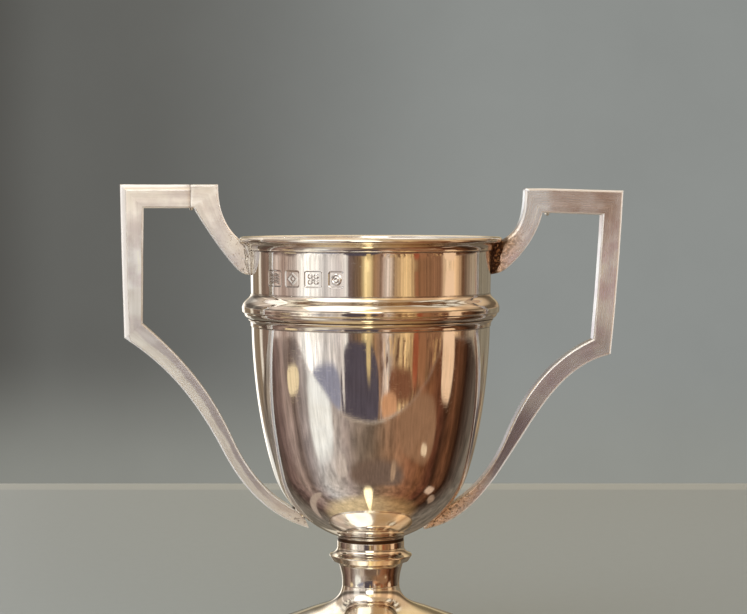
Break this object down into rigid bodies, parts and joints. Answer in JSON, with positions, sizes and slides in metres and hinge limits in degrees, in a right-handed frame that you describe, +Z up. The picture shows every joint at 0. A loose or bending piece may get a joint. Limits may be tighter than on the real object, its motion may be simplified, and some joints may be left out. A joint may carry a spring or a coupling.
{
  "type": "two-handled cup trophy",
  "caption": "Small silver prize cup with a deep bell-shaped bowl, moulded girdle, short knopped stem, domed foot and two angular bar handles.",
  "frame": {"origin": "on the table, on the cup's axis, under the middle of the foot", "axes": "+Z up along the cup's axis, +X towards the right handle, +Y towards the back"},
  "size_m": [0.096, 0.05, 0.089],
  "materials": {
    "bright_silver": "highly polished silver with fine handling scratches",
    "warm_silver": "polished silver, warm toned, fine turning lines",
    "handle_silver": "polished silver bar, filed and finely scratched faces, bright rounded edges"
  },
  "bodies": {
    "root": {"bowl_shell": "bright_silver", "lip_wire": "bright_silver", "girdle_upper_wire": "bright_silver", "girdle_lower_wire": "bright_silver", "bowl_collar": "warm_silver", "knop_ring": "warm_silver", "stem": "warm_silver", "foot_dome": "warm_silver", "foot_rim_wire": "warm_silver", "left_bracket": "handle_silver", "left_top_bar": "handle_silver", "left_grip_bar": "handle_silver", "left_leg": "handle_silver", "right_bracket": "handle_silver", "right_top_bar": "handle_silver", "right_grip_bar": "handle_silver", "right_leg": "handle_silver"}
  },
  "joints": []
}
